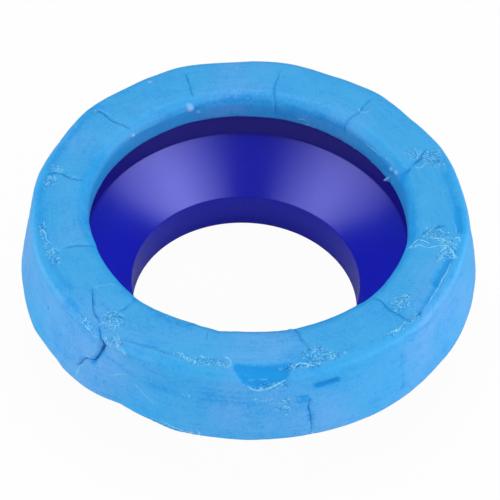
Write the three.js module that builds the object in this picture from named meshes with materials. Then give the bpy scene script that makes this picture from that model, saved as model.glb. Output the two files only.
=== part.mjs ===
// Toilet outlet seal: a bar of soft sealing putty, bent into a ring round a moulded plastic funnel.
// The ring is squeezed between the pan's outlet and the floor, and the funnel's spout reaches down into
// the drain pipe.
// Units are millimetres and +Z is up. The origin is on the axis, in the plane of the spout's lower rim.

import * as THREE from "three";

// Moulded funnel, from its spout up to the flange that the putty grips
const spoutBore = 72.4;
const spoutLength = 12.4;
const coneHeight = 15.2;
const collarBore = 100.8;
const collarHeight = 8.8;
const funnelWall = 1.8;
const flangeReach = 6.5;
const flangeThickness = 1.6;
const rimRounding = 0.4;
const throatRounding = 0.8;
const shoulderRounding = 2.6;
const flangeRootRounding = 1.0;

// Putty ring, measured from the flange in its middle: 140 across its foot and 23.3 high
const puttyOverFlange = 9.2;
const puttyUnderFlange = 14.1;
const puttyPastFlange = 6.3;
const puttyWallLean = 5;
const puttyOverhang = 1.9;
const puttyMouthFlare = 1.2;
const puttyTopRounding = 3.4;
const puttyMouthRounding = 2.2;
const puttyBaseRounding = 1.2;
const puttyClearance = 0.3;

// The bar was bent by hand, one crease at a time. Flatness is how far its sides go from round (0) to
// straight (1) between creases.
const sideFlatness = 0.24;
const creaseHalfWidth = 2.6;

// Anticlockwise from +X. The azimuths are in degrees, where a crease meets the ring's outer and inner
// edges. The side that follows it sinks at its top and bulges outwards by the two last values.
const creases = [
  { outer: 27.4, inner: 18.7, depth: 1.3, sink: 0, bulge: -0.1 },
  { outer: 53.2, inner: 51.6, depth: 0.9, sink: 0.3, bulge: 0.1 },
  { outer: 82.9, inner: 80.4, depth: 0.7, sink: 0, bulge: 0.2 },
  { outer: 111.0, inner: 115.2, depth: 0.6, sink: 0.2, bulge: 0 },
  { outer: 141.8, inner: 142.9, depth: 1.1, sink: 0, bulge: -0.1 },
  { outer: 171.0, inner: 171.8, depth: 1.0, sink: 0.4, bulge: -0.2 },
  { outer: 201.1, inner: 203.6, depth: 0.8, sink: 0, bulge: 0.5 },
  { outer: 234.8, inner: 230.4, depth: 2.4, sink: 0.3, bulge: -0.6 },
  { outer: 259.8, inner: 254.7, depth: 0.5, sink: 0, bulge: 0.3 },
  { outer: 288.1, inner: 286.9, depth: 1.1, sink: 0.2, bulge: 0.4 },
  { outer: 318.0, inner: 315.9, depth: 1.0, sink: 0, bulge: 0.3 },
  { outer: 356.4, inner: 346.7, depth: 1.2, sink: 0.3, bulge: 0.9 },
];

// How finely round shapes are cut
const funnelSteps = 120;
const stepsPerSide = 9;
const roundingTolerance = 0.08;
const largestArcShare = 0.48;
const longestWallStep = 7;

// Heights and radii that follow
const spoutRadius = spoutBore / 2;
const collarRadius = collarBore / 2;
const coneTop = spoutLength + coneHeight;
const coneLean = Math.atan2(collarRadius - spoutRadius, coneHeight);
const flangeTop = coneTop + collarHeight;
const flangeBottom = flangeTop - flangeThickness;
const flangeRadius = collarRadius + funnelWall + flangeReach;
const puttyTop = flangeTop + puttyOverFlange;
const puttyBase = flangeTop - puttyUnderFlange;
const puttyShoulder = flangeRadius + puttyPastFlange;
const puttyRadius = puttyShoulder + puttyWallLean;
const puttyLip = collarRadius - puttyOverhang;
const puttyMouth = puttyLip + puttyMouthFlare;
const gripTop = flangeTop + puttyClearance;

// How far a value has gone from a start to an end: 0 to 1
function share(value, start, end) {
  return THREE.MathUtils.clamp((value - start) / (end - start), 0, 1);
}

// An even wall, followed at this distance, turns its corners lower than the bore does.
function cornerDrop(distance) {
  return distance * Math.tan(coneLean / 2);
}

// Arc that rounds off the corner of an outline, from the side before it to the side after it
function roundedCorner([radius, height, rounding], previous, next) {
  const corner = new THREE.Vector2(radius, height);
  const before = new THREE.Vector2(previous[0], previous[1]).sub(corner);
  const after = new THREE.Vector2(next[0], next[1]).sub(corner);
  const longestReach = largestArcShare * Math.min(before.length(), after.length());
  before.normalize();
  after.normalize();
  const halfAngle = before.angleTo(after) / 2;
  const arcRadius = Math.min(rounding, longestReach * Math.tan(halfAngle));
  if (arcRadius <= roundingTolerance) {
    return [corner];
  }
  const centre = before.clone().add(after).setLength(arcRadius / Math.sin(halfAngle)).add(corner);
  const start = before.clone().multiplyScalar(arcRadius / Math.tan(halfAngle)).add(corner);
  const turn = Math.sign(after.cross(before)) * (Math.PI - 2 * halfAngle);
  const steps = Math.ceil(Math.abs(turn) / (2 * Math.acos(1 - roundingTolerance / arcRadius)));
  return Array.from({ length: steps + 1 }, (_, i) => start.clone().rotateAround(centre, (turn * i) / steps));
}

// One array of points for each of the corners, which are [radius, height, rounding]
function roundedCorners(corners) {
  const count = corners.length;
  return corners.map((corner, i) => roundedCorner(corner, corners.at(i - 1), corners[(i + 1) % count]));
}

function makeFunnel() {
  const outerSpout = spoutRadius + funnelWall;
  const outerCollar = collarRadius + funnelWall;
  const drop = cornerDrop(funnelWall);
  const outline = roundedCorners([
    [spoutRadius, 0, rimRounding],
    [outerSpout, 0, rimRounding],
    [outerSpout, spoutLength - drop, throatRounding + funnelWall],
    [outerCollar, coneTop - drop, shoulderRounding + funnelWall],
    [outerCollar, flangeBottom, flangeRootRounding],
    [flangeRadius, flangeBottom, rimRounding],
    [flangeRadius, flangeTop, rimRounding],
    [collarRadius, flangeTop, rimRounding],
    [collarRadius, coneTop, shoulderRounding],
    [spoutRadius, spoutLength, throatRounding],
  ]).flat();
  outline.push(outline[0].clone());
  const geometry = new THREE.LatheGeometry(outline, funnelSteps);
  geometry.rotateX(Math.PI / 2);
  const plastic = new THREE.MeshStandardMaterial({ color: 0x1c22a1, roughness: 0.2, metalness: 0 });
  const funnel = new THREE.Mesh(geometry, plastic);
  funnel.name = "funnel";
  return funnel;
}

// Adds points to the long stretches of an open outline, so that a crease can fade along them
function withWallSteps(outline) {
  const points = [outline[0]];
  for (const [i, end] of outline.slice(1).entries()) {
    const start = outline[i];
    const steps = Math.ceil(start.distanceTo(end) / longestWallStep);
    for (let step = 1; step <= steps; step++) {
      points.push(start.clone().lerp(end, step / steps));
    }
  }
  return points;
}

// The part of the putty's section that is moulded against the funnel, from the foot up to its grip round
// the flange
function heldOutline() {
  const offset = funnelWall + puttyClearance;
  const outerCollar = collarRadius + offset;
  const shoulderHeight = coneTop - cornerDrop(offset);
  const footRadius = outerCollar - Math.max(0, shoulderHeight - puttyBase) * Math.tan(coneLean);
  const gripRadius = flangeRadius + puttyClearance;
  const gripBottom = flangeBottom - puttyClearance;
  return [
    [Math.max(footRadius, spoutRadius + offset), puttyBase, 0],
    [outerCollar, Math.max(shoulderHeight, puttyBase + puttyClearance), shoulderRounding + offset],
    [outerCollar, gripBottom, flangeRootRounding - puttyClearance],
    [gripRadius, gripBottom, 0],
    [gripRadius, gripTop, 0],
  ];
}

// The rest of the section, which creases when the bar is bent
function freeOutline() {
  return [
    [puttyLip, gripTop, 0],
    [puttyMouth, puttyTop, puttyMouthRounding],
    [puttyShoulder, puttyTop, puttyTopRounding],
    [puttyRadius, puttyBase, puttyBaseRounding],
  ];
}

// Places along the ring, from one crease to the next. At each, the flattening is a share of the radius,
// and the rest are in millimetres.
function ringStations() {
  const stations = [];
  for (const [i, crease] of creases.entries()) {
    const previous = creases.at(i - 1);
    const next = creases[(i + 1) % creases.length];
    const outerSpan = THREE.MathUtils.euclideanModulo(next.outer - crease.outer, 360);
    const innerSpan = THREE.MathUtils.euclideanModulo(next.inner - crease.inner, 360);
    const halfTurn = THREE.MathUtils.degToRad(outerSpan) / 2;
    const flank = creaseHalfWidth / (2 * halfTurn * puttyShoulder);
    stations.push({
      outer: THREE.MathUtils.degToRad(crease.outer),
      inner: THREE.MathUtils.degToRad(crease.inner),
      flattening: 0,
      depth: crease.depth,
      sink: (previous.sink + crease.sink) / 2,
      bulge: (previous.bulge + crease.bulge) / 2,
    });
    for (let step = 0; step <= stepsPerSide; step++) {
      const along = THREE.MathUtils.lerp(flank, 1 - flank, step / stepsPerSide);
      const chord = Math.cos(halfTurn) / Math.cos((2 * along - 1) * halfTurn);
      stations.push({
        outer: THREE.MathUtils.degToRad(crease.outer + along * outerSpan),
        inner: THREE.MathUtils.degToRad(crease.inner + along * innerSpan),
        flattening: sideFlatness * (1 - chord),
        depth: 0,
        sink: crease.sink,
        bulge: crease.bulge,
      });
    }
  }
  return stations;
}

// A point of the free outline as it lies at a station. A crease presses it straight into the putty, less
// and less towards the foot, which stays flat.
function creasedPoint(point, direction, station) {
  const creased = station.depth * Math.sqrt(share(point.y, puttyBase, puttyTop));
  const bulged = station.bulge * share(point.x, puttyMouth, puttyShoulder);
  const sunk = station.sink * share(point.y, gripTop, puttyTop);
  const radius = point.x * (1 - station.flattening) + bulged + creased * direction.y;
  return new THREE.Vector2(radius, point.y - sunk - creased * direction.x);
}

// Joins the sections of a closed ring, which all have as many points
function ringGeometry(sections) {
  const indices = [];
  const count = sections[0].length;
  for (let ring = 0; ring < sections.length; ring++) {
    const nextRing = (ring + 1) % sections.length;
    for (let i = 0; i < count; i++) {
      const next = (i + 1) % count;
      const [here, above] = [ring * count + i, ring * count + next];
      const [beside, opposite] = [nextRing * count + i, nextRing * count + next];
      indices.push(here, above, opposite, here, opposite, beside);
    }
  }
  const geometry = new THREE.BufferGeometry().setFromPoints(sections.flat());
  geometry.setIndex(indices);
  geometry.computeVertexNormals();
  return geometry;
}

function makePuttyRing() {
  const held = heldOutline();
  const corners = roundedCorners([...held, ...freeOutline()]);
  const heldPoints = corners.slice(0, held.length).flat();
  const outline = [...heldPoints, ...withWallSteps(corners.slice(held.length).flat())];
  const sections = ringStations().map((station) =>
    outline.map((point, i) => {
      const direction = outline[(i + 1) % outline.length].clone().sub(outline.at(i - 1)).normalize();
      const placed = i < heldPoints.length ? point : creasedPoint(point, direction, station);
      const outwards = share(point.x, puttyMouth, puttyShoulder);
      const azimuth = THREE.MathUtils.lerp(station.inner, station.outer, outwards);
      return new THREE.Vector3(placed.x * Math.cos(azimuth), placed.x * Math.sin(azimuth), placed.y);
    }),
  );
  const putty = new THREE.MeshStandardMaterial({ color: 0x4aa6e8, roughness: 0.5, metalness: 0 });
  const ring = new THREE.Mesh(ringGeometry(sections), putty);
  ring.name = "putty_ring";
  return ring;
}

const seal = new THREE.Group();
seal.add(makeFunnel(), makePuttyRing());

export default seal;
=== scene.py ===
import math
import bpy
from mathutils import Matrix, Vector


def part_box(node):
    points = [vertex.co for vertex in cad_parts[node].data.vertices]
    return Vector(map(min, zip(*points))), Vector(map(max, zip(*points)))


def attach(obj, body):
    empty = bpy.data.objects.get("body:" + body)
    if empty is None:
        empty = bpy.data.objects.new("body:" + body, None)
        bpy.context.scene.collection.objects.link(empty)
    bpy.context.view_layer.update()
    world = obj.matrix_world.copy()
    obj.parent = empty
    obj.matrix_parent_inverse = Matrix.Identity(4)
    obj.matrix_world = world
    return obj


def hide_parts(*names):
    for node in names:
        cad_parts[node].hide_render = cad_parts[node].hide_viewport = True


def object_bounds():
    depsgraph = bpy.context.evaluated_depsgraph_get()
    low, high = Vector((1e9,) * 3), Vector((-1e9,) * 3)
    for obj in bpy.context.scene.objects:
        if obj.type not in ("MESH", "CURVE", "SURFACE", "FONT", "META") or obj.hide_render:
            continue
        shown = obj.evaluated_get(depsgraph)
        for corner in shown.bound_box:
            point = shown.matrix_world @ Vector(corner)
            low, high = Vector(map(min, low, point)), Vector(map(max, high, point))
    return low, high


bl_info = {
    "name": "Toilet Outlet Seal",
    "version": (1, 0, 0),
    "blender": (4, 5, 0),
    "location": "3D View > Sidebar > Outlet Seal",
    "description": "Models a creased ring of sealing putty round a plastic funnel",
    "category": "Object",
}

from collections import namedtuple

import bpy
import numpy as np
from bpy.props import FloatProperty, FloatVectorProperty, IntProperty, PointerProperty
from mathutils import Matrix, Quaternion, Vector

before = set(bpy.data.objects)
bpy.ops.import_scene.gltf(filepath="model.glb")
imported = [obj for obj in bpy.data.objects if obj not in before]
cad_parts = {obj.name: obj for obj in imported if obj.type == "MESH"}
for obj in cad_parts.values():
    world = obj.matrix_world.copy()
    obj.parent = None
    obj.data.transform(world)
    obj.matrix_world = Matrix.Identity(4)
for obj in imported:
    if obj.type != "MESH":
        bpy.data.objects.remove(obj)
cad_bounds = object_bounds()
ring_low, ring_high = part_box("putty_ring")
funnel_low, funnel_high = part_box("funnel")

MM = 0.001
FULL_TURN = 2 * math.pi
WHITE = (1.0, 1.0, 1.0)

# How far the photo's middle lies off the camera's axis, as a share of its width.
PHOTO_SHIFT = (0.0062, 0.0148)
# Width of the bar's top in millimetres, and the share of its height at which the lip in the mouth starts.
TOP_WIDTH = 15.2
LIP_START = 0.66

# The bar's creases, anticlockwise from +X. Azimuths are in degrees, at the ring's outer and inner edges,
# and the rest in millimetres: how far the top's outer edge stands out at the crease, and how far the side
# after it falls back at its middle. That side's top tips outwards and onwards by angles in degrees.
Crease = namedtuple("Crease", "outer inner reach dip tip_out tip_on")
CREASES = [Crease(*row) for row in (
    (27.4, 18.7, 0.15, 0.9, 1, 0.6),
    (53.2, 51.6, 0.7, 0.8, -0.3, -0.5),
    (82.9, 80.4, 0.9, 0.7, 0.6, 0.3),
    (111, 115.2, 0.95, 0.8, 0.3, -0.4),
    (141.8, 142.9, -0.2, 0.8, 1.2, 0.5),
    (171, 171.8, -1.1, 0.6, 0.5, -0.6),
    (201.1, 203.6, -0.8, 0.4, 1.2, 0.8),
    (233.4, 231, 0, 0.4, 0.5, -0.5),
    (259.8, 254.7, -0.6, 0.3, 0.8, 0.3),
    (288.1, 286.9, -0.4, 0.4, 0.8, -0.3),
    (318, 315.9, -0.3, 0.6, 1, 0.4),
    (356.4, 346.7, -0.2, 0.7, 0.6, 0),
)]

# How far the foot of the wall stands out or in, as (azimuth in degrees, millimetres).
FOOT = (
    (6, 0.8), (13, 1), (24, 0.5), (60, 0), (120, 0), (181, -1), (195, -0.8), (208, 0.2), (219, -0.3),
    (222, 0.2), (230, 0.1), (234, -0.4), (240, -1.4), (247, -0.8), (255, 0.2), (265, 0), (304, 0.3),
    (328, 0.2), (353, 0.3),
)

# How far the inner edge of the top stands out from the axis, as (azimuth in degrees, millimetres).
MOUTH = (
    (188, 0), (200, -0.9), (212, -0.6), (230, -0.4), (238, -0.3), (246, -0.7), (253, -1.1), (258, -0.6),
    (262, 0.1), (268, -0.5), (280, -0.8), (300, -0.6), (312, -0.3), (322, 0),
)

# Places on the ring are (azimuth in degrees, distance across the bar's skin in millimetres). The distance
# runs from the top's outer edge: outwards and down the wall above zero, and inwards over the top, and then
# down the mouth, below zero.

# Thin folds pressed into the skin, each with its darkness, which is painted shade in the fold, and its depth
# in millimetres.
Fold = namedtuple("Fold", "ink depth path")
FOLDS = [Fold(*row) for row in (
    (1, 0.44, ((171.7, -0.2), (170.5, -3.1), (170.5, -5.7), (171.3, -8.5), (171.6, -15))),
    (0.8, 0.38, ((201.3, -6), (201.4, -9.8), (202, -13.2), (203.4, -17))),
    (1.3, 0.6, ((219.6, -8), (220.2, -6.8), (222.9, -5), (229.2, -1.3), (231.4, 0.7), (233.4, 3))),
    (0.8, 0.5, ((230, -16.5), (231.4, -14), (231.3, -11.4), (230.9, -7.6))),
    (0.42, 0.25, ((258.4, -14), (258.6, -12.7), (260, -7))),
    (0.49, 0.38, ((236.9, -0.2), (238.6, -0.8), (243.4, -2), (248.5, -2.2), (253.3, -1.8))),
    (0.8, 0.5, ((286.8, -16), (287, -14.5), (287.7, -12.8), (287.9, -10.2), (288.9, -7.6))),
    (0.8, 0.44, ((315.8, -16), (317.5, -11.9), (317.2, -9.1), (317.3, -6), (318, -0.2))),
    (1.1, 0.44, ((349.5, -13), (352.3, -11.4), (353.8, -9.3), (355.2, -7.1), (355.9, -5))),
    (0.49, 0.25, ((22.1, -7.1), (22.2, -4.8), (21.6, -2.3), (20.9, -0.1))),
    (1.3, 0.38, ((283.5, -1.2), (284, -1.5), (284.8, -1.8))),
    (1.3, 0.38, ((287.3, -1), (288.4, -1))),
    (1.3, 0.38, ((289.2, -1.1), (289.9, -0.8))),
    (1.3, 0.38, ((320.5, -1), (321.2, -0.3), (322.4, -0.4))),
    (1.1, 0.6, ((28, -3), (24.6, -8.3), (22.3, -11.2), (20.4, -14.5), (21, -18))),
    (0.7, 0.5, ((53.6, -2), (52.8, -7), (52.2, -12.6), (53.3, -17.5), (53, -22))),
    (0.7, 0.44, ((82.4, -2), (83.1, -8.9), (82.8, -13.7), (82.1, -18.9), (81.8, -23))),
    (0.7, 0.44, ((111, -3), (111.6, -9.6), (112.4, -14.8))),
    (1.1, 0.6, ((141.7, -0.8), (141.5, -6.2), (141.7, -12.3), (140.2, -18.1))),
    (1.1, 0.6, ((286.5, 9), (286.7, 10.8), (286.4, 12.3), (286.8, 17.3), (287.5, 24))),
    (0.7, 0.38, ((247.5, -15.5), (247.8, -12.6))),
)]

# Thin pale threads of torn putty, standing up from the skin, each with its strength.
Thread = namedtuple("Thread", "ink path")
THREADS = [Thread(*row) for row in (
    (0.35, ((220.4, -6.7), (219.6, -8.4), (220.1, -10.4), (222.2, -13.7), (225.5, -15.1))),
    (0.6, ((227.6, 16.4), (227.8, 18.6), (227.2, 21.6))),
    (1.3, ((343.6, -17), (344.3, -15.6), (345.9, -15), (347.9, -13.2), (347.4, -11), (346.7, -9.1))),
    (1.3, ((343.9, -13.9), (345.5, -12.6), (345.1, -11), (345.2, -9.2), (346.8, -6.8))),
    (1.3, ((346.8, -6.8), (347.8, -4.8), (347.3, -3.6), (346.7, -2.8), (345.8, -1.8), (344.6, -0.9))),
    (1.1, ((349.3, -10), (349.7, -8.3), (350.2, -6.6), (349.4, -4.7))),
    (1.1, ((344.6, -5.5), (347.5, -4.1))),
    (1.2, ((348.6, -3.8), (349.8, -2.9), (351.5, -2.2), (351.8, -1.2), (350.3, -0.6))),
    (0.5, ((357.8, -3.7), (356, -2.8), (353.5, -2.5))),
    (0.8, ((342.5, -1.3), (338.5, -1.3), (334.8, -1.4), (331.5, -1.4), (328.2, -1.1), (325.3, -0.9))),
    (0.8, ((271.4, 3.2), (272.8, 4.6), (275.3, 5.1), (277, 4.3), (279, 3.2), (281.2, 1.2))),
    (1, ((282.8, -0.8), (283.4, -1.4), (284.9, -2.6), (286.1, -2.1), (287.7, -1.4), (286.7, -0.5))),
    (0.9, ((265, -4.9), (266.8, -4.3), (267.2, -3.2), (267, -2), (265.9, -1.2))),
    (0.35, ((271.6, 1.6), (276.6, 1.4))),
    (0.35, ((236.6, 13.4), (240.2, 10.4), (241.8, 9.8))),
    (0.4, ((243.5, 12.4), (245.7, 14.5), (249.4, 16.8))),
    (0.6, ((251, 21.3), (254.8, 21.8), (259, 22.4), (262, 23.2))),
    (0.9, ((73, -22.4), (70.6, -21.5), (68.5, -22), (68.1, -23.3), (70.4, -23.8))),
    (0.3, ((141, -1.1), (140.9, -4.3), (141, -8))),
    (0.4, ((235.6, -2.1), (238.1, 0.3), (239.2, 1.4), (240.3, 1.9))),
    (0.35, ((225.1, 0.9), (228.3, 1.4), (229.5, 1.6), (231.8, 1.4))),
    (0.7, ((21.8, -10.9), (20.3, -10.1), (20.5, -8.4), (22, -6.9))),
    (0.6, ((29, -7), (26.3, -7.6), (24.4, -9))),
    (0.5, ((49.6, -8), (52, -10.4), (53.6, -9.4))),
    (0.6, ((311, -2.2), (313.5, -0.8), (316.5, -1.6))),
    (0.7, ((171.2, -11.6), (171, -10.2), (172, -9.2))),
    (0.7, ((192, -1.2), (194, -2.4), (196.5, -2.2), (198, -3.2))),
    (0.5, ((29.5, -17), (35, -18.2), (42, -18.6))),
)]

# Soft bands, darker or paler than the rest. Most are painted shade: under the mouth's edge, in hollows,
# along the shoulders, beside a fold and on a flap that stands out from the wall. Those below zero are
# painted highlights along ridges, and the rest are marks where the bar was smeared. The first column is
# above zero where the band is darker and below zero where it is paler. Depth and width are in millimetres.
Band = namedtuple("Band", "tone depth width path")
SHADE_AND_SMEAR_BANDS = [Band(*row) for row in (
    (0.5, 0, 1.8, ((141, -1.2), (150, -1.4), (160, -1.4), (170, -1.8))),
    (0.45, 0.15, 1.4, ((172, -1.4), (178, -1), (186, -1.2), (195, -1.6), (206, -1.8), (216, -2))),
    (0.6, 0.1, 1.5, ((376, -2.4), (366, -2), (360, -1.7), (355, -1.5))),
    # Painted shade on the flap that stands out from the wall.
    (1.5, 0, 1.6, ((363.5, 13), (369, 15), (376, 17.5))),
    (0.5, 0.1, 0.6, ((343.6, 4.6), (341.2, 3.2))),
    (0.9, 0.2, 1.3, ((347, -1.8), (344, -2.2), (340, -2.5), (336, -2.6), (333, -2.5))),
    (0.5, 0.1, 0.8, ((333, -2.4), (330, -2.1), (326, -1.6), (322, -1.2))),
    (0.6, 0.1, 0.8, ((363, -1.8), (359.9, -1.6), (356.2, -1.4), (353.8, -1.3))),
    # Painted shade in the mouth's rounding, here and in the next row.
    (0.5, 0, 1.5, ((347, -15.6), (356, -16.4), (370, -17), (379, -17.5))),
    (0.6, 0.1, 1.2, ((381, -14.2), (379.5, -16.5), (376, -18.4))),
    # Painted highlight along the mouth's edge.
    (-0.6, -0.1, 0.5, ((140, -18.2), (131.3, -18.6), (122.5, -18.6), (115.1, -18.1))),
    # Painted shadow along a step in the skin, here and in the next row.
    (0.4, 0.2, 0.45, ((314.2, 2), (318.7, 2.8), (322.8, 3.3))),
    (0.5, 0.3, 0.35, ((314.9, 3.5), (316.2, 4.2))),
    # Painted shade in a hollow in the top.
    (0.45, 0.3, 1.6, ((241.5, -14), (246, -13.2), (252, -13.8))),
    # Painted shade where the top rounds down into the mouth.
    (0.3, 0.1, 2.4, ((160, -15), (172, -14.6), (186, -14.2), (198, -14.8))),
    (0.35, 0.1, 1.6, ((218.6, 0.6), (228, 1.4), (232, 4))),
    (0.3, 0.1, 1, ((235, 7), (244, 9.5), (256, 10))),
    # Painted highlight along the shoulder.
    (-0.35, 0, 1, ((296, -0.2), (303, 0.2), (310, 0.2))),
    # Painted shade under the mouth's edge, here and in the next row.
    (0.5, 0.25, 1.1, ((112, -18.4), (103, -17.6), (94, -17.4), (84, -17.8))),
    (0.4, 0.1, 1.5, ((80, -17.5), (68, -18), (55, -18.4))),
    (0.35, 0.1, 1.2, ((312.5, 6), (311.8, 12), (312.2, 19))),
    (0.3, 0, 3, ((262, 8), (268, 9), (274, 12))),
)]

# Marks with crisp edges, pressed in by something hard: a slot, a square smudge and a small hole. Half sizes
# and depth are in millimetres, and the mark is turned by an angle in degrees. The last column darkens each
# mark with painted shade inside it.
Mark = namedtuple("Mark", "azimuth across half_along half_across turn depth tone")
MARKS = (
    Mark(291, 5.2, 3.8, 1, -2, 0.6, 1.6),
    Mark(285, 9.4, 1.7, 1.5, 0, 0.15, 0.6),
    Mark(211.6, 10.4, 0.45, 0.45, 0, 0.3, 1.2),
)

# Rough places where the putty stuck to something and tore: ovals, with half sizes in millimetres, turned
# by an angle in degrees.
Torn = namedtuple("Torn", "azimuth across half_along half_across turn strength")
TORN = [Torn(*row) for row in (
    (168.5, -3.2, 3.4, 3.2, -20, 0.6), (173, -3, 4, 2.2, 10, 0.9), (192.5, -1.8, 4.5, 1.4, 0, 1),
    (202, -3, 8, 1.9, 0, 0.8), (231.5, -4, 4.4, 3.6, 20, 1), (228, 1, 5, 1, 10, 0.9),
    (236.3, 1.2, 4.4, 2, 0, 1), (260, -2.6, 8, 1.7, 0, 0.9), (289.5, -4.2, 4.6, 3.2, 0, 1),
    (285.5, -1.6, 7, 1.3, 0, 1), (294.5, -1.8, 4.5, 1.3, 0, 0.7), (320.8, -7, 4.6, 2.2, -10, 1),
    (313, -0.9, 5, 0.9, 0, 1), (319.5, -1.2, 3.5, 1.1, 0, 0.8), (350.8, -7.6, 3.8, 5.2, 25, 1),
    (346.6, -3.4, 5.4, 3.2, 0, 1.1), (342.5, -5, 3, 1.6, 0, 0.8), (23.5, -4.4, 3.6, 4.6, 20, 1),
    (26.5, -9, 3, 3, 20, 0.7), (277, 3.9, 6, 1.1, -6, 1), (281, 10.5, 3.8, 3.4, 0, 0.7),
    (276.5, 8.5, 4.5, 1.6, 0, 0.5), (239, 11.8, 3, 0.8, -40, 0.5), (256.5, 9.6, 1.6, 1, 0, 0.6),
    (255, 22.4, 8, 0.8, 0, 0.8), (287, 23, 1.6, 0.9, 0, 0.9), (52, -10.5, 2.6, 1.8, 0, 0.4),
    (142.5, -1.5, 2, 0.9, 0, 0.6), (40, -18.5, 6, 0.7, 0, 0.6), (122.2, -1.8, 1.2, 0.6, 0, 0.9),
)]

# Small lumps on the skin, as (azimuth, across, radius and height in millimetres, and how pale it is).
LUMPS = (
    (237.8, 0.9, 1.1, 0.5, 0.4), (114.3, -17.8, 1.9, 0.8, 0.8), (111.2, -20, 0.8, 0.3, 0.7),
    (140.4, -18, 0.8, 0.4, 0.9), (25.8, -18.1, 1.1, 0.5, 0.8), (23.2, -17.5, 0.9, 0.4, 0.7),
    (122.2, -1.8, 0.6, 0.3, 0.7), (240.2, 2, 0.8, 0.4, 0.4), (244, -15.2, 0.9, 0.5, 0.2),
    (285.4, -15.6, 1.4, 0.35, 0), (251.8, -15.4, 1.8, -0.5, 0), (151, -0.8, 0.5, 0.25, 0.6),
)

# Broad shallow dents, as (azimuth, across, half size along and across, and depth in millimetres).
DENTS = (
    (246, 14, 12, 6, 0.5), (213, 9, 10, 8, 0.6), (330, 12, 12, 8, 0.4), (300, 12, 10, 8, 0.3),
    (187, 8, 9, 7, 0.5),
)

# The flat dent on the front, cut off straight along the top, and the azimuths between which it deepens.
# It is painted darker inside, as painted shade in the dent.
FLAT_DENT = Mark(275.3, -2.9, 8.4, 8, 0, 1, 1)
FLAT_DENT_DEEPENS = (268, 274)

# The whisker of putty over the mouth: its oval foot, and how far it stands into the mouth in millimetres.
WHISKER = (26.6, -22.9, 0.45, 0.8)
WHISKER_LENGTH = 2.7

# Azimuth about which the lip's lower edge is ragged.
RAGGED_LIP = 46

# The open crack down the wall, where the bar's two ends meet.
CRACK = (
    (232.6, 1.4), (233.8, 3.5), (233.3, 6), (232.5, 8.8), (231.5, 11.4), (229.7, 12.3), (228.4, 13.8),
    (227.7, 15.7), (226.8, 17.8),
)


class FunnelSettings(bpy.types.PropertyGroup):
    """Sizes and colours of the plastic funnel."""

    spout_radius: FloatProperty(
        name="Spout radius", description="Its inside radius", default=35.8 * MM, unit="LENGTH"
    )
    spout_length: FloatProperty(
        name="Spout length", description="Its height", default=12.4 * MM, unit="LENGTH"
    )
    collar_radius: FloatProperty(
        name="Collar radius", description="Its inside radius", default=50.4 * MM, unit="LENGTH"
    )
    collar_foot: FloatProperty(
        name="Collar foot", description="Its height", default=27.6 * MM, unit="LENGTH"
    )
    wall: FloatProperty(name="Wall", description="Thickness of the wall", default=1.8 * MM, unit="LENGTH")
    flange_thickness: FloatProperty(
        name="Flange thickness", description="Its thickness", default=1.6 * MM, unit="LENGTH"
    )
    steps: IntProperty(name="Steps", description="Steps once round the funnel", default=240)
    colour: FloatVectorProperty(
        name="Colour", description="Deep blue of the plastic", default=(0.012, 0.017, 0.53), subtype="COLOR"
    )
    # Painted shade: the collar sits under the putty's overhang and is painted a darker blue.
    collar_shade_colour: FloatVectorProperty(
        name="Collar colour", description="Blue of the collar", default=(0.012, 0.006, 0.24), subtype="COLOR"
    )


class PuttySettings(bpy.types.PropertyGroup):
    """Sizes and colours of the putty ring."""

    shoulder_radius: FloatProperty(
        name="Shoulder radius", description="Outer radius of the top", default=66.6 * MM, unit="LENGTH"
    )
    edge_radius: FloatProperty(
        name="Edge radius", description="Radius where across is zero", default=65 * MM, unit="LENGTH"
    )
    foot_radius: FloatProperty(
        name="Foot radius", description="Radius at the wall's foot", default=70.4 * MM, unit="LENGTH"
    )
    mouth_radius: FloatProperty(
        name="Mouth radius", description="Inner radius of the top", default=48.3 * MM, unit="LENGTH"
    )
    lip_radius: FloatProperty(
        name="Lip radius", description="Radius over the collar", default=48.5 * MM, unit="LENGTH"
    )
    clearance: FloatProperty(
        name="Clearance", description="Gap round the funnel", default=0.3 * MM, unit="LENGTH"
    )
    skin_step: FloatProperty(
        name="Skin step", description="Spacing across the skin", default=0.52 * MM, unit="LENGTH"
    )
    steps: IntProperty(name="Steps", description="Steps once round the ring", default=820)
    colour: FloatVectorProperty(
        name="Colour", description="Light blue of the putty", default=(0.032, 0.385, 0.8), subtype="COLOR"
    )
    # Deeper blue of smears, and of painted shade in hollows, folds and dents.
    deep_and_shade_colour: FloatVectorProperty(
        name="Smeared colour", description="Deeper blue of smears", default=(0, 0.29, 0.75), subtype="COLOR"
    )
    # Violet blue, partly at random and partly painted sheen on the outer wall.
    dull_and_sheen_colour: FloatVectorProperty(
        name="Dull colour", description="Slightly violet blue", default=(0.11, 0.39, 0.82), subtype="COLOR"
    )
    # Painted shade inside the folds and the crack.
    fold_shade_colour: FloatVectorProperty(
        name="Fold colour", description="Dark blue inside folds", default=(0, 0.1, 0.42), subtype="COLOR"
    )
    pale_colour: FloatVectorProperty(
        name="Torn colour", description="Pale blue of crumbs", default=(0.28, 0.72, 1), subtype="COLOR"
    )
    lump_colour: FloatVectorProperty(
        name="Lump colour", description="Milky blue of lumps", default=(0.36, 0.58, 0.96), subtype="COLOR"
    )


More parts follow.
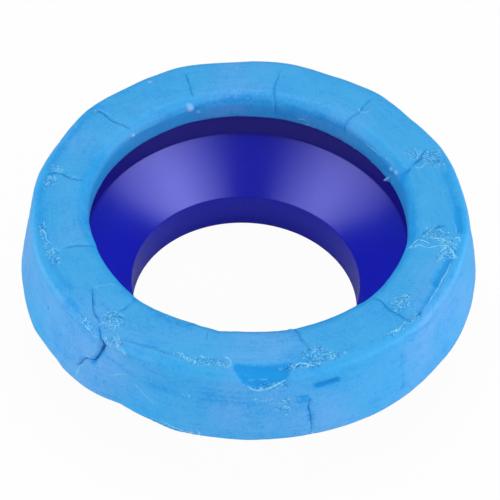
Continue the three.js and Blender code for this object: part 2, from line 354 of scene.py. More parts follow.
class StudioSettings(bpy.types.PropertyGroup):
    """Camera, lamps and floor."""

    camera_distance: FloatProperty(
        name="Camera distance", description="Distance to the putty's foot", default=550 * MM, unit="LENGTH"
    )
    camera_elevation: FloatProperty(
        name="Elevation", description="Angle above horizon", default=math.radians(47.48), subtype="ANGLE"
    )
    camera_roll: FloatProperty(
        name="Camera roll", description="Turn on its axis", default=math.radians(2.606), subtype="ANGLE"
    )
    lens: FloatProperty(name="Lens", description="Focal length in mm, on a 36 mm sensor", default=127.6)
    side_lamp_power: FloatProperty(
        name="Side lamps", description="Power of the right one", default=1.88, subtype="POWER"
    )
    top_lamp_power: FloatProperty(
        name="Top lamp", description="Power from overhead", default=5.2, subtype="POWER"
    )
    low_lamp_power: FloatProperty(
        name="Low lamps", description="Power of a side strip", default=3.4, subtype="POWER"
    )
    ambient: FloatProperty(name="Ambient", description="Strength of light all round", default=0.12)


class Socket:
    """An output of a shader node, on which Python's arithmetic adds Math nodes."""

    def __init__(self, shader, output):
        self.shader = shader
        self.output = output

    def _math(self, operation, *values):
        return self.shader.node("ShaderNodeMath", {"operation": operation}, dict(enumerate(values)))

    def __add__(self, other):
        return self._math("ADD", self, other)

    def __sub__(self, other):
        return self._math("SUBTRACT", self, other)

    def __rsub__(self, other):
        return self._math("SUBTRACT", other, self)

    def __mul__(self, other):
        return self._math("MULTIPLY", self, other)

    def __abs__(self):
        return self._math("ABSOLUTE", self)

    __radd__ = __add__
    __rmul__ = __mul__


class Shader:
    """The nodes of a material or of the world, built from expressions on sockets."""

    def __init__(self, owner):
        self.owner = owner
        owner.use_nodes = True
        self.tree = owner.node_tree
        self.tree.nodes.clear()

    def node(self, kind, settings=None, sockets=None, output=0):
        """Adds a node, sets it, fills or links its sockets and returns one of its outputs."""
        added = self.tree.nodes.new(kind)
        for name, value in (settings or {}).items():
            setattr(added, name, value)
        for name, value in (sockets or {}).items():
            if isinstance(value, Socket):
                self.tree.links.new(value.output, added.inputs[name])
            else:
                added.inputs[name].default_value = value
        return Socket(self, added.outputs[output]) if added.outputs else None

    def attribute(self, name):
        return self.node("ShaderNodeAttribute", {"attribute_name": name}, output="Fac")

    def noise(self, vector, scale, detail=2, roughness=0.5):
        sockets = {"Vector": vector, "Scale": scale, "Detail": detail, "Roughness": roughness}
        return self.node("ShaderNodeTexNoise", {"noise_dimensions": "3D"}, sockets)

    def smooth(self, value, low, high):
        """Goes smoothly from 0 at low to 1 at high."""
        settings = {"interpolation_type": "SMOOTHSTEP"}
        sockets = {"Value": value, "From Min": low, "From Max": high, "To Min": 0, "To Max": 1}
        return self.node("ShaderNodeMapRange", settings, sockets)

    def fall(self, value, near, far):
        """Goes smoothly from 1 at near to 0 at far."""
        return 1 - self.smooth(value, near, far)

    def mix(self, factor, first, second):
        """Mixes two colours."""
        sockets = {0: factor, 6: first, 7: second}
        return self.node("ShaderNodeMix", {"data_type": "RGBA"}, sockets, output=2)

    def finish_bumpy(self, strength, distance, height, sockets):
        """Ends in a Principled surface with a bump."""
        bumps = {"Strength": strength, "Distance": distance, "Height": height}
        normal = self.node("ShaderNodeBump", sockets=bumps)
        return self.finish(self.node("ShaderNodeBsdfPrincipled", sockets={**sockets, "Normal": normal}))

    def finish(self, surface, output="ShaderNodeOutputMaterial"):
        self.node(output, sockets={"Surface": surface})
        return self.owner


def rgba(colour):
    return (*colour, 1.0)


def add_object(operator, name, **settings):
    """Adds an object with one of Blender's operators, and leaves it selected alone."""
    bpy.ops.object.select_all(action="DESELECT")
    operator(**settings)
    added = bpy.context.active_object
    added.name = added.data.name = name
    return added


def select_at(piece, places, tolerance=0.01 * MM):
    """Selects the vertices that lie at the given places, and nothing else."""
    bpy.ops.mesh.select_mode(type="VERT")
    bpy.ops.mesh.select_all(action="DESELECT")
    bpy.ops.object.mode_set(mode="OBJECT")
    for vertex in piece.data.vertices:
        vertex.select = any((vertex.co - place).length < tolerance for place in places)
    bpy.ops.object.mode_set(mode="EDIT")


def draw_section(name, corners):
    """Draws a closed outline in the XZ plane. Corners are (radius, height, rounding, arc segments)."""
    piece = add_object(bpy.ops.mesh.primitive_plane_add, name, size=1 * MM)
    places = [Vector((radius, 0, height)) for radius, height, _, _ in corners]
    bpy.ops.object.mode_set(mode="EDIT")
    bpy.ops.mesh.select_all(action="SELECT")
    bpy.ops.mesh.merge(type="CENTER")
    bpy.ops.transform.translate(value=places[0])
    for start, end in zip(places, places[1:]):
        bpy.ops.mesh.extrude_region_move(TRANSFORM_OT_translate={"value": end - start})
    bpy.ops.mesh.select_all(action="SELECT")
    bpy.ops.mesh.edge_face_add()
    for index, (_, _, rounding, segments) in enumerate(corners):
        if not rounding:
            continue
        before = (places[index - 1] - places[index]).normalized()
        after = (places[(index + 1) % len(places)] - places[index]).normalized()
        reach = rounding / math.tan(before.angle(after) / 2)
        select_at(piece, [places[index]])
        bpy.ops.mesh.bevel(offset_type="OFFSET", offset=reach, segments=segments, affect="VERTICES")
    bpy.ops.mesh.select_all(action="SELECT")
    bpy.ops.mesh.delete(type="ONLY_FACE")
    return piece


def spin_section(piece, steps):
    """Spins an outline once round the Z axis into a closed body, and leaves edit mode."""
    bpy.ops.mesh.select_all(action="SELECT")
    bpy.ops.mesh.spin(steps=steps, angle=FULL_TURN, center=(0, 0, 0), axis=(0, 0, 1))
    bpy.ops.mesh.select_all(action="SELECT")
    bpy.ops.mesh.remove_doubles(threshold=0.005 * MM)
    bpy.ops.mesh.normals_make_consistent(inside=False)
    bpy.ops.object.mode_set(mode="OBJECT")


def corner_drop(settings, distance):
    """How much lower than the bore's corners its wall turns at this distance, and its lean."""
    rise = settings.collar_foot - settings.spout_length
    lean = math.atan2(settings.collar_radius - settings.spout_radius, rise)
    return distance * math.tan(lean / 2), math.tan(lean)


def funnel_plastic(settings):
    """Smooth moulded plastic with a faint flow pattern, a few fine scuffs, and painted shade on the collar
    under the putty.
    """
    shader = Shader(bpy.data.materials.new("funnel_plastic"))
    place = shader.node("ShaderNodeTexCoord", output="Object")
    flow = shader.noise(place, 60, 3)
    grain = shader.noise(place, 2400)
    specks = shader.noise(place, 900, 1)
    marks = shader.smooth(specks, 0.79, 0.82)
    rise = shader.node("ShaderNodeSeparateXYZ", sockets={"Vector": place}, output="Z")
    foot = settings.collar_foot
    # The collar above the cone takes the darker blue, as painted shade under the putty's overhang.
    shaded = shader.smooth(rise, foot - 1.2 * MM, foot + 0.6 * MM)
    blue = shader.mix(shaded, rgba(settings.colour), rgba(settings.collar_shade_colour))
    pale = rgba([0.6 * value + 0.06 for value in settings.colour])
    colour = shader.mix(0.35 * marks, blue, pale)
    sockets = {
        "Base Color": colour,
        "Roughness": 0.22 + 0.06 * flow + 0.15 * marks,
        "IOR": 1.5,
        "Specular Tint": rgba((1, 1, 2.2)),  # makes reflections bluer
    }
    return shader.finish_bumpy(0.12, 0.1 * MM, 0.7 * flow + 0.08 * grain, sockets)


class SEAL_OT_add_funnel(bpy.types.Operator):
    """Adds the plastic funnel: a spout, a cone, a collar and the flange that the putty grips."""

    bl_idname = "seal.add_funnel"
    bl_label = "Add Funnel"
    bl_options = {"REGISTER", "UNDO"}

    def execute(self, context):
        settings = context.scene.seal_funnel
        wall = settings.wall
        drop, _ = corner_drop(settings, wall)
        top = funnel_high.z
        flange_bottom = top - settings.flange_thickness
        rim, shoulder, throat = 0.4 * MM, 1.2 * MM, 0.8 * MM
        corners = [
            (settings.spout_radius, funnel_low.z, rim, 3),
            (settings.spout_radius + wall, funnel_low.z, rim, 3),
            (settings.spout_radius + wall, settings.spout_length - drop, throat + wall, 8),
            (settings.collar_radius + wall, settings.collar_foot - drop, shoulder + wall, 10),
            (settings.collar_radius + wall, flange_bottom, 1 * MM, 4),
            (funnel_high.x, flange_bottom, rim, 3),
            (funnel_high.x, top, rim, 3),
            (settings.collar_radius, top, rim, 3),
            (settings.collar_radius, settings.collar_foot, shoulder, 10),
            (settings.spout_radius, settings.spout_length, throat, 5),
        ]
        funnel = draw_section("plastic_funnel", corners)
        spin_section(funnel, settings.steps)
        bpy.ops.object.shade_smooth()
        funnel.data.materials.append(funnel_plastic(settings))
        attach(funnel, "root")
        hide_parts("funnel")
        return {"FINISHED"}


def putty_corners(funnel, putty):
    """Corners of the putty's section: its foot, its grip round the funnel, its mouth, top and wall."""
    gap = putty.clearance
    drop, lean = corner_drop(funnel, funnel.wall + gap)
    outer_collar = funnel.collar_radius + funnel.wall + gap
    shoulder_height = funnel.collar_foot - drop
    foot = outer_collar - (shoulder_height - ring_low.z) * lean
    grip_bottom = funnel_high.z - funnel.flange_thickness - gap
    grip_top = funnel_high.z + gap
    grip_radius = funnel_high.x + gap
    return [
        (foot, ring_low.z, 0, 0),
        (outer_collar, shoulder_height, 2.6 * MM + funnel.wall + gap, 3),
        (outer_collar, grip_bottom, 0.7 * MM, 2),
        (grip_radius, grip_bottom, 0, 0),
        (grip_radius, grip_top, 0, 0),
        (putty.lip_radius, grip_top, 0, 0),
        (putty.mouth_radius, ring_high.z, 3.8 * MM, 9),
        (putty.shoulder_radius, ring_high.z, 3.2 * MM, 8),
        (putty.foot_radius, ring_low.z, 0.5 * MM, 3),
    ]


def refine_skin(piece, putty):
    """Adds points along the visible edges of the section: the mouth, the top and the outer wall."""
    bpy.ops.mesh.select_mode(type="EDGE")
    bpy.ops.object.mode_set(mode="OBJECT")
    visible = []
    for edge in piece.data.edges:
        middle = sum((piece.data.vertices[i].co for i in edge.vertices), Vector()) / 2
        in_mouth = middle.x < putty.mouth_radius + 2 * MM and middle.z > funnel_high.z + 0.5 * MM
        on_top = middle.z > ring_high.z - 0.01 * MM
        on_wall = middle.x > putty.shoulder_radius - 2 * MM and middle.z > ring_low.z + 0.1 * MM
        if in_mouth or on_top or on_wall:
            visible.append([piece.data.vertices[i].co.copy() for i in edge.vertices])
    bpy.ops.object.mode_set(mode="EDIT")
    for start, end in visible:
        cuts = math.ceil((end - start).length / putty.skin_step) - 1
        if cuts > 0:
            select_at(piece, [start, end])
            bpy.ops.mesh.subdivide(number_cuts=cuts)


def falloff(distance, width):
    """A smooth hump: 1 at no distance, and about a third at one width."""
    return np.exp(-((distance / width) ** 2))


def step_up(value, low, high):
    """Goes smoothly from 0 at low to 1 at high."""
    share = np.clip((value - low) / (high - low), 0, 1)
    return share * share * (3 - 2 * share)


def ripples(points, size, seed):
    """Smooth random humps at each point, mostly from -1 to 1, about size apart."""
    random = np.random.default_rng(seed)
    total = np.zeros(len(points))
    waves = 40
    for _ in range(waves):
        heading = random.normal(size=3)
        heading *= random.uniform(0.6, 1.5) * math.pi / (size * np.linalg.norm(heading))
        total += np.sin(points @ heading + random.uniform(0, FULL_TURN))
    return total / math.sqrt(waves)


class Skin:
    """The ring's vertices in millimetres and degrees, with the moves that shape them."""

    def __init__(self, mesh, putty):
        self.mesh = mesh
        self.co = self.read("co") / MM
        self.normal = self.read("normal")
        self.low = ring_low.z / MM
        self.top = ring_high.z / MM
        self.edge = putty.edge_radius / MM
        self.mouth = putty.mouth_radius / MM
        self.radius = np.hypot(self.co[:, 0], self.co[:, 1])
        self.height = self.co[:, 2].copy()
        self.azimuth = np.degrees(np.arctan2(self.co[:, 1], self.co[:, 0])) % 360
        self.outwards = np.clip((self.radius - self.mouth) / (self.edge - self.mouth), 0, 1)
        self.upwards = np.clip((self.height - self.low) / (self.top - self.low), 0, 1)
        below = self.top - self.height
        inmost = self.edge - TOP_WIDTH
        over = np.clip(self.radius, inmost, self.edge) - self.edge
        self.across = over + np.where(self.outwards < 0.5, -below, below)
        grip = (funnel_high.z + putty.clearance) / MM
        held = (self.radius < funnel_high.x / MM + 0.5) & (self.height < grip + 0.05)
        held &= self.radius > inmost
        bottom = self.height < self.low + 0.01
        self.free = np.where(held | bottom, 0.0, 1.0)
        self.loose = np.where(held | (bottom & (self.radius < self.edge)), 0.0, 1.0)
        self.wander = 0.3 * ripples(self.co, 4, 1) + 0.12 * ripples(self.co, 1.5, 2)
        self.find_sides()

    def read(self, name):
        """Reads a vector for each vertex."""
        values = np.empty(3 * len(self.mesh.vertices))
        self.mesh.vertices.foreach_get(name, values)
        return values.reshape(-1, 3)

    def find_sides(self):
        """Finds the side that each point lies on, how far along it, and the distance to its crease."""
        outer, inner = np.array([(crease.outer, crease.inner) for crease in CREASES]).T
        edges = inner + (outer - inner) * self.outwards[:, None]
        passed = (self.azimuth[:, None] - edges) % 360
        self.side = passed.argmin(axis=1)
        since = passed.min(axis=1)
        until = 360 - passed.max(axis=1)
        self.side_share = since / (since + until)
        self.side_length = (since + until) * np.radians(self.radius)
        self.crease = np.minimum(since, until) * np.radians(self.radius)

    def local(self, azimuth, across):
        """Millimetres along and across the skin, from a place on it."""
        turned = (self.azimuth - azimuth + 180) % 360 - 180
        reach = self.edge + min(across, 0) / 2
        return np.radians(turned) * reach, self.across - across

    def oval(self, azimuth, across, half_along, half_across, turn=0, power=2):
        """Distance from a place, which is 1 on the rim of an oval, or of a block at a high power."""
        u, v = self.local(azimuth, across)
        cosine, sine = math.cos(math.radians(turn)), math.sin(math.radians(turn))
        along = np.abs(u * cosine + v * sine) / half_along
        beside = np.abs(v * cosine - u * sine) / half_across
        return (along**power + beside**power) ** (1 / power)

    def trace(self, path):
        """Signed distance in millimetres to a path, and how far along the path, from 0 to 1."""
        azimuth, across = path[0]
        u, v = self.local(azimuth, across)
        scale = math.radians(1) * (self.edge + min(across, 0) / 2)
        points = [((a - azimuth) * scale, b - across) for a, b in path]
        nearest = np.full(len(u), 1e3)
        signed = np.full(len(u), 1e3)
        progress = np.zeros(len(u))
        for index, ((x0, y0), (x1, y1)) in enumerate(zip(points, points[1:])):
            dx, dy = x1 - x0, y1 - y0
            share = np.clip(((u - x0) * dx + (v - y0) * dy) / (dx * dx + dy * dy), 0, 1)
            gap_x = u - (x0 + share * dx)
            gap_y = v - (y0 + share * dy)
            distance = np.hypot(gap_x, gap_y)
            closer = distance < nearest
            nearest = np.where(closer, distance, nearest)
            signed = np.where(closer, distance * np.sign(dx * gap_y - dy * gap_x), signed)
            progress = np.where(closer, (index + share) / (len(points) - 1), progress)
        return signed, progress

    def push(self, amount):
        """Moves the free skin along its normals by an amount in millimetres."""
        self.co += self.normal * (amount * self.free)[:, None]

    def swell(self, amount):
        """Moves the skin and its bottom edge straight out from the axis by an amount in millimetres."""
        away = self.co[:, :2] / np.hypot(self.co[:, 0], self.co[:, 1])[:, None]
        self.co[:, :2] += away * (amount * self.loose)[:, None]

    def lift(self, amount):
        """Moves the free skin up by an amount in millimetres, and less and less below the top."""
        start = np.where(self.outwards < 0.5, LIP_START, 0.3)
        self.co[:, 2] += amount * self.free * step_up((self.upwards - start) / (1 - start), 0, 1)

    def mark(self, name, values):
        """Stores a value for each vertex, which the putty's material reads."""
        attribute = self.mesh.attributes.new(name, "FLOAT", "POINT")
        attribute.data.foreach_set("value", np.ascontiguousarray(values, dtype=np.float32))

    def save(self):
        self.mesh.vertices.foreach_set("co", (self.co * MM).ravel())
        self.mesh.update()


def blend_sides(skin, values):
    """Values of the sides, run into each other over a short stretch at each crease."""
    values = np.array(values)
    own = values[skin.side]
    before = values[skin.side - 1]
    after = values[(skin.side + 1) % len(values)]
    start = 0.5 * (1 - step_up(skin.side_share, 0, 0.2))
    end = 0.5 * step_up(skin.side_share, 0.8, 1)
    return own * (1 - start - end) + before * start + after * end


def bend_bar(skin):
    """Straightens the sides between creases, tips their tops and sets the outline of the foot."""
    reach = [crease.reach for crease in CREASES]
    dip = np.array([crease.dip for crease in CREASES])[skin.side]
    rounding = 4.5
    from_corner = np.hypot(skin.crease, rounding) - rounding
    share = np.clip(from_corner / skin.side_length, 0, 0.5)
    sag = dip * 4 * share * (1 - share)
    outline = np.interp(skin.azimuth, [crease.outer for crease in CREASES], reach, period=360)
    foot = np.interp(skin.azimuth, *zip(*FOOT), period=360)
    mouth = np.interp(skin.azimuth, *zip(*MOUTH))
    high = step_up(skin.upwards, 0, 0.9)
    over_top = step_up(skin.outwards, 0, 0.8)
    outer = (outline - sag) * high * over_top
    inner = (mouth - 0.3 * sag) * (1 - over_top) * step_up(skin.upwards, LIP_START, 0.95)
    skin.swell(outer + foot * (1 - high) * over_top + inner)
    tip_out = blend_sides(skin, [math.radians(crease.tip_out) for crease in CREASES])
    tip_on = np.radians([crease.tip_on for crease in CREASES])[skin.side]
    middle = (skin.mouth + skin.edge) / 2
    run = (skin.side_share - 0.5) * skin.side_length
    fade = 4 * skin.side_share * (1 - skin.side_share)
    half_top, crown, sink = 8, 0.35, 0.3
    out = skin.radius - middle
    rise = crown * (1 - np.clip(np.abs(out) / half_top, 0, 1) ** 2)
    skin.lift(rise - out * np.tan(tip_out) - run * np.tan(tip_on) * fade - sink)
    on_top = step_up(skin.across, -20, -16) * (1 - step_up(skin.across, -2, 1))
    skin.push(-0.2 * falloff(skin.crease, 2.5) * on_top)


def nearest_line(best, signed, ink):
    """Keeps, for each point, the line that lies nearest to it."""
    line, strength = best
    closer = np.abs(signed) < np.abs(line)
    return np.where(closer, signed, line), np.where(closer, ink, strength)


def draw_line(skin, path, wander, taper):
    """Distance to a line that wanders a little, its strength along its way, and a mask about it."""
    signed, progress = skin.trace(path)
    signed = signed + wander * skin.wander
    ends = step_up(progress, 0, taper) * (1 - step_up(progress, 1 - taper, 1))
    return signed, ends, ends * (1 - step_up(np.abs(signed), 0.9, 1.5))


def press_folds(skin):
    """Presses in the thin folds and raises the threads of torn putty."""
    far_off = 9.0
    folds = threads = np.full(len(skin.co), far_off), np.zeros(len(skin.co))
    broken = ripples(skin.co, 2.2, 31)
    for fold in FOLDS:
        signed, ends, near = draw_line(skin, fold.path, 1, 0.15)
        skin.push(-0.5 * fold.depth * falloff(signed, 0.5) * ends)
        ink = fold.ink * near * np.clip(0.8 + 0.5 * broken, 0, 1)
        folds = nearest_line(folds, signed, ink)
    for thread in THREADS:
        signed, _, near = draw_line(skin, thread.path, 0.4, 0.08)
        ink = thread.ink * near * np.clip(0.9 + 0.6 * broken, 0, 1)
        skin.push(0.22 * falloff(signed, 0.35) * ink)
        threads = nearest_line(threads, signed, ink)
    for name, (signed, ink) in (("fold", folds), ("thread", threads)):
        skin.mark(name, signed)
        skin.mark(f"{name}_ink", ink)


def open_crack(skin):
    """Opens the crack where the bar's ends meet, its left end set back, and returns the painted shadow under
    its upper lip.
    """
    signed, progress = skin.trace(CRACK)
    line = signed + 0.6 * skin.wander
    width = 0.14 + 0.28 * falloff(progress - 0.16, 0.1) + 0.06 * ripples(skin.co, 1.6, 41)
    ends = step_up(progress, 0, 0.06) * (1 - step_up(progress, 0.9, 1))
    skin.push(-1.2 * falloff(line, 0.3 + width) * ends)
    stretch = step_up(progress, 0.1, 0.3) * (1 - step_up(progress, 0.5, 0.65))
    # Painted shadow along the crack, below the lip that overhangs it.
    shade = falloff(line + 0.4, 0.7) * stretch
    behind = step_up(-line, -0.3, 0.3) * falloff(line, 8) * step_up(skin.across, 1, 4)
    skin.swell(-0.8 * behind * (1 - step_up(skin.across, 9, 12)))
    skin.mark("crack", line)
    closed = -1
    skin.mark("crack_width", np.where(ends > 0.05, width, closed))
    return shade


def smear_and_shade_skin(skin, tone):
    """Presses the soft bands, marks, lumps, whisker and dents into the skin. The bands, marks and flat dent
    add painted shade, painted highlights and smear marks to the darkness it was given.
    """
    for band in SHADE_AND_SMEAR_BANDS:
        signed, _ = skin.trace(band.path)
        hump = falloff(signed + 0.4 * skin.wander, band.width)
        skin.push(-band.depth * hump)
        tone += band.tone * hump
    for mark in MARKS:
        inside = 1 - step_up(skin.oval(*mark[:5], power=5), 0.8, 1.15)
        skin.push(-mark.depth * inside)
        tone += mark.tone * inside
    lump = np.zeros(len(skin.co))
    for azimuth, across, radius, height, paleness in LUMPS:
        away = skin.oval(azimuth, across, radius, 0.8 * radius) + 0.2 * ripples(skin.co, 1.6, 81)
        hump = 1 - step_up(away, 0.3, 1.1)
        skin.push(height * hump)
        lump = np.maximum(lump, paleness * hump)
    away = skin.oval(*WHISKER)
    skin.swell(-WHISKER_LENGTH * falloff(away, 0.8))
    lump = np.maximum(lump, 0.9 * falloff(away, 1))
    flat = FLAT_DENT
    away = skin.oval(*flat[:5]) + 0.04 * ripples(skin.co, 3, 51)
    inside = (1 - step_up(away, 0.85, 1)) * step_up(skin.across, flat.across - 0.1, flat.across + 0.4)
    skin.push(-flat.depth * inside * (0.4 + 0.6 * step_up(skin.azimuth, *FLAT_DENT_DEEPENS)))
    tone += flat.tone * inside
    ragged = np.clip(ripples(skin.co, 1.8, 52) - 0.3, 0, 2) * step_up(-skin.across, 21.5, 22.5)
    skin.swell(-0.35 * ragged * falloff(skin.azimuth - RAGGED_LIP, 18))
    for *oval, depth in DENTS:
        skin.push(-depth * falloff(skin.oval(*oval), 0.8))
    skin.mark("tone", tone)
    skin.mark("lump", lump)


def tear_skin(skin):
    """Roughens the torn places."""
    torn = np.zeros(len(skin.co))
    ragged = 0.22 * ripples(skin.co, 3, 61) + 0.2 * ripples(skin.co, 1.2, 62)
    for place in TORN:
        away = skin.oval(*place[:5]) + ragged
        torn = np.maximum(torn, place.strength * (1 - step_up(away, 0.55, 1.2)))
    skin.push(torn * (0.1 * ripples(skin.co, 1.1, 63) - 0.05))
    skin.mark("torn", torn)


def knead(skin):
    """Uneven places all over: broad swells, and streaks drawn along the bar."""
    skin.push(0.07 * ripples(skin.co, 16, 71) + 0.05 * ripples(skin.co, 6, 72))
    around = np.c_[skin.co[:, :2] * 0.12, skin.across]
    skin.push(0.03 * ripples(around, 2, 73) * step_up(skin.across, -2, 2))
    skin.push(0.012 * ripples(skin.co, 1.3, 74))


def unroll_skin(piece, skin):
    """Gives the ring a map of metres along and across its skin."""
    mesh = piece.data
    loops = np.empty(len(mesh.loops), dtype=np.int32)
    mesh.loops.foreach_get("vertex_index", loops)
    whole = FULL_TURN * skin.edge
    along = (np.radians(skin.azimuth) * skin.edge)[loops].reshape(-1, 4)
    crosses = along.max(axis=1) - along.min(axis=1) > whole / 2
    along = np.where(crosses[:, None] & (along < whole / 2), along + whole, along)
    unrolled = mesh.uv_layers.new(name="skin")
    unrolled.data.foreach_set("uv", (np.c_[along.ravel(), skin.across[loops]] * MM).ravel())


def soft_putty(settings):
    """Waxy putty: streaked along the bar, with painted shade in its folds, hollows and crack, painted
    highlights and sheen in places, and pale and crumbly where it tore.
    """
    shader = Shader(bpy.data.materials.new("soft_putty"))
    place = shader.node("ShaderNodeTexCoord", output="Object")
    skin = shader.node("ShaderNodeUVMap", {"uv_map": "skin"})
    drawn = shader.node("ShaderNodeMapping", sockets={"Vector": skin, "Scale": (70, 1000, 1)})
    fold, fold_ink, thread, thread_ink = map(shader.attribute, ("fold", "fold_ink", "thread", "thread_ink"))
    crack, crack_width, torn = map(shader.attribute, ("crack", "crack_width", "torn"))
    tone, lump = map(shader.attribute, ("tone", "lump"))
    across = shader.node("ShaderNodeSeparateXYZ", sockets={"Vector": skin}, output="Y")

    clouds = shader.noise(place, 45, 3)
    blotches = shader.noise(place, 160, 3, 0.6)
    hues = shader.noise(place, 32)
    streaks = shader.noise(drawn, 1, 3, 0.6)
    crumbs = shader.noise(place, 2000, 2, 0.6)
    wisps = shader.noise(place, 900, 2, 0.55)
    grain = shader.noise(place, 1600, 2, 0.6)

    # Painted shade: a dark line in each fold and a softer band beside it.
    fold_line = shader.fall(abs(fold), 0.02, 0.3) * fold_ink
    fold_shade = shader.fall(abs(fold), 0.1, 1.2) * fold_ink
    beads = shader.noise(place, 1500, 2, 0.6)
    thread_line = shader.fall(abs(thread) + 0.5 * (0.55 - beads), 0.06, 0.34) * thread_ink
    # Painted shadow beside the raised threads.
    thread_shadow = shader.fall(abs(thread), 0.3, 0.8) * thread_ink
    crack_line = shader.fall(abs(crack) - crack_width, -0.12, 0.12)

    clusters = shader.noise(place, 420, 3, 0.6)
    rough = shader.smooth(torn * (0.5 + clusters), 0.2, 0.8)
    vein = shader.fall(abs(wisps - 0.5), 0, 0.035)
    pale_crumbs = rough * shader.smooth(crumbs + 0.5 * (clusters - 0.5), 0.5, 0.66)
    # Dark specks among the crumbs are painted shadow.
    crumb_shadows = rough * shader.fall(crumbs + 0.5 * (clusters - 0.5), 0.34, 0.46)
    mottled = 0.8 * (clouds - 0.5) + 0.9 * (blotches - 0.5) + 0.5 * (clusters - 0.5)
    uneven = mottled + 0.8 * (streaks - 0.5) + 1.2 * (grain - 0.5) + 0.7 * (wisps - 0.5)
    # Deeper blue from smears and torn places, and painted shade from the bands, marks, crack, folds and
    # threads.
    smear_tear_and_shade = 0.9 * tone + 0.35 * fold_shade + 0.2 * rough + 0.25 * thread_shadow
    deeper_and_shaded = shader.smooth(0.36 + uneven + smear_tear_and_shade, 0.05, 1.15)
    pale = 0.6 * pale_crumbs + 0.5 * rough * vein + 0.85 * thread_line
    # Painted shade along the foot's underside edge.
    rim = shader.smooth(across, 22.4 * MM, 23.2 * MM)
    # Darkest painted shade: folds, crumbs, the darkest bands and marks, and the foot's edge.
    painted_shade = 0.7 * fold_line + 0.45 * crumb_shadows + 0.35 * shader.smooth(tone, 1.1, 1.6) + 0.3 * rim
    # A violet hue at random, and painted sheen more on the outer wall.
    wall = shader.smooth(across, 0, 5 * MM)
    hue_and_wall_sheen = shader.smooth(hues + 0.12 * wall, 0.45, 0.85)

    hue_and_sheen_blue = shader.mix(hue_and_wall_sheen, rgba(settings.colour), rgba(settings.dull_and_sheen_colour))
    base = shader.mix(deeper_and_shaded, hue_and_sheen_blue, rgba(settings.deep_and_shade_colour))
    worn = shader.mix(pale, base, rgba(settings.pale_colour))
    milky = shader.mix(0.8 * lump, worn, rgba(settings.lump_colour))
    with_painted_shade = shader.mix(painted_shade, milky, rgba(settings.fold_shade_colour))
    # Painted shade inside the open crack.
    colour = shader.mix(0.85 * crack_line, with_painted_shade, rgba([0.7 * value for value in settings.fold_shade_colour]))

    height = 0.35 * streaks + 0.6 * grain + 0.3 * wisps + 0.4 * clusters
    height = height + rough * (0.9 * crumbs + 0.5 * vein) + 0.6 * thread_line - 0.8 * fold_line
    sockets = {
        "Base Color": colour,
        "Roughness": 0.45 + 0.12 * streaks + 0.2 * rough + 0.3 * shader.smooth(tone, 0, 1),
        "IOR": 1.42,
    }
    return shader.finish_bumpy(0.6, 0.22 * MM, height, sockets)


class SEAL_OT_add_putty_ring(bpy.types.Operator):
    """Adds the putty ring: a bar bent round the funnel, with creases, a crack, dents and torn places."""

    bl_idname = "seal.add_putty_ring"
    bl_label = "Add Putty Ring"
    bl_options = {"REGISTER", "UNDO"}

    def execute(self, context):
        putty = context.scene.seal_putty
        ring = draw_section("bent_putty_ring", putty_corners(context.scene.seal_funnel, putty))
        refine_skin(ring, putty)
        spin_section(ring, putty.steps)
        bpy.ops.object.shade_smooth()
        skin = Skin(ring.data, putty)
        bend_bar(skin)
        press_folds(skin)
        # The crack's painted shadow starts the darkness that the bands and marks add to.
        smear_and_shade_skin(skin, open_crack(skin))
        tear_skin(skin)
        knead(skin)
        skin.save()
        unroll_skin(ring, skin)
        ring.data.materials.append(soft_putty(putty))
        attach(ring, "root")
        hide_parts("putty_ring")
        return {"FINISHED"}


def floor_material():
    """A white floor as the camera sees it, and a grey one in the light it gives back."""
    shader = Shader(bpy.data.materials.new("studio_floor"))
    seen = shader.node("ShaderNodeLightPath", output="Is Camera Ray")
    mirrored = shader.node("ShaderNodeLightPath", output="Is Glossy Ray")
    pale_grey, mid_grey = 3 * [0.8], 3 * [0.5]
    colour = shader.mix(mirrored, rgba(pale_grey), rgba(mid_grey))
    plain = shader.node("ShaderNodeBsdfDiffuse", sockets={"Color": colour})
    white = shader.node("ShaderNodeEmission", sockets={"Color": rgba(WHITE), "Strength": 1})
    whiteness = 0.96  # less than 1, so that a faint shadow shows
    surface = shader.node("ShaderNodeMixShader", sockets={0: whiteness * seen, 1: plain, 2: white})
    return shader.finish(surface)


def add_softbox(name, azimuth, elevation, size, power, roll=0, spread=180):
    """Adds a rectangular lamp a metre from the object, facing it. Angles are in degrees."""
    azimuth, elevation = math.radians(azimuth), math.radians(elevation)
    place = Vector((math.cos(azimuth), math.sin(azimuth), math.tan(elevation))).normalized()
    facing = place.to_track_quat("Z", "Y") @ Quaternion((0, 0, 1), math.radians(roll))
    rotation = facing.to_euler()
    lamp = add_object(bpy.ops.object.light_add, name, type="AREA", location=place, rotation=rotation)
    lamp.data.shape = "RECTANGLE"
    lamp.data.size, lamp.data.size_y = size
    lamp.data.energy = power
    lamp.data.spread = math.radians(spread)


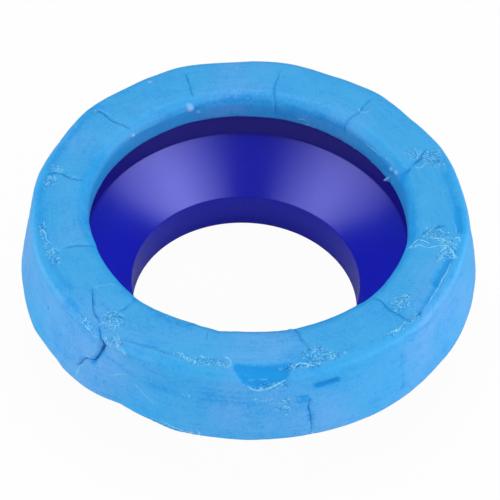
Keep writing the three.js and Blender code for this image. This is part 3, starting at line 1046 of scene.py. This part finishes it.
class SEAL_OT_set_studio(bpy.types.Operator):
    """Sets the camera, the lamps, the white surroundings and the floor."""

    bl_idname = "seal.set_studio"
    bl_label = "Set Studio"
    bl_options = {"REGISTER", "UNDO"}

    def execute(self, context):
        settings = context.scene.seal_studio
        self.add_floor()
        self.set_surroundings(context.scene, settings.ambient)
        side = settings.side_lamp_power
        add_softbox("softbox_right", -27, 29, (1.6, 0.3), side, roll=-15, spread=90)
        add_softbox("softbox_left", 207, 29, (1.6, 0.3), 0.78 * side, roll=15, spread=90)
        low = settings.low_lamp_power
        add_softbox("low_strip_right", 6, 5, (0.9, 0.18), low)
        add_softbox("low_strip_left", 174, 5, (0.9, 0.18), low)
        add_softbox("low_strip_front", 270, 6, (1.2, 0.1), 0.65 * low)
        add_softbox("softbox_top", 92, 74, (0.8, 0.8), settings.top_lamp_power)
        add_softbox("softbox_back", 90, 33, (1, 0.3), 0.2 * settings.top_lamp_power)
        self.add_camera(context.scene, settings)
        context.scene.view_settings.view_transform = "Standard"
        return {"FINISHED"}

    def add_floor(self):
        ground = (0, 0, cad_bounds[0][2])
        floor = add_object(bpy.ops.mesh.primitive_plane_add, "studio_floor", size=6, location=ground)
        floor.data.materials.append(floor_material())

    def set_surroundings(self, scene, ambient):
        """White as the camera sees them, and dim in the light that they give."""
        shader = Shader(bpy.data.worlds.new("white_surroundings"))
        seen = shader.node("ShaderNodeLightPath", output="Is Camera Ray")
        sockets = {"Color": rgba(WHITE), "Strength": ambient + (1 - ambient) * seen}
        background = shader.node("ShaderNodeBackground", sockets=sockets)
        scene.world = shader.finish(background, "ShaderNodeOutputWorld")

    def add_camera(self, scene, settings):
        elevation = settings.camera_elevation
        back = Vector((0, -math.cos(elevation), math.sin(elevation)))
        place = Vector((0, 0, ring_low.z)) + back * settings.camera_distance
        tilt = Matrix.Rotation(math.pi / 2 - elevation, 4, "X")
        roll = Matrix.Rotation(settings.camera_roll, 4, "Z")
        rotation = (tilt @ roll).to_euler()
        camera = add_object(bpy.ops.object.camera_add, "camera", location=place, rotation=rotation)
        camera.data.lens = settings.lens
        camera.data.shift_x, camera.data.shift_y = PHOTO_SHIFT
        camera.data.clip_start = 10 * MM
        scene.camera = camera


class SEAL_PT_sidebar(bpy.types.Panel):
    """Lists the seal's pieces and their settings."""

    bl_idname = "SEAL_PT_sidebar"
    bl_label = "Toilet Outlet Seal"
    bl_space_type = "VIEW_3D"
    bl_region_type = "UI"
    bl_category = "Outlet Seal"

    def draw(self, context):
        for owner, group, operator in PARTS:
            box = self.layout.box()
            for name in group.__annotations__:
                box.prop(getattr(context.scene, owner), name)
            box.operator(operator.bl_idname)


PARTS = (
    ("seal_funnel", FunnelSettings, SEAL_OT_add_funnel),
    ("seal_putty", PuttySettings, SEAL_OT_add_putty_ring),
    ("seal_studio", StudioSettings, SEAL_OT_set_studio),
)


def register():
    for name, group, operator in PARTS:
        bpy.utils.register_class(group)
        setattr(bpy.types.Scene, name, PointerProperty(type=group))
        bpy.utils.register_class(operator)
    bpy.utils.register_class(SEAL_PT_sidebar)


def unregister():
    bpy.utils.unregister_class(SEAL_PT_sidebar)
    for name, group, operator in reversed(PARTS):
        bpy.utils.unregister_class(operator)
        delattr(bpy.types.Scene, name)
        bpy.utils.unregister_class(group)


def main():
    register()
    bpy.ops.seal.set_studio()
    bpy.ops.seal.add_funnel()
    bpy.ops.seal.add_putty_ring()


if __name__ == "__main__":
    main()
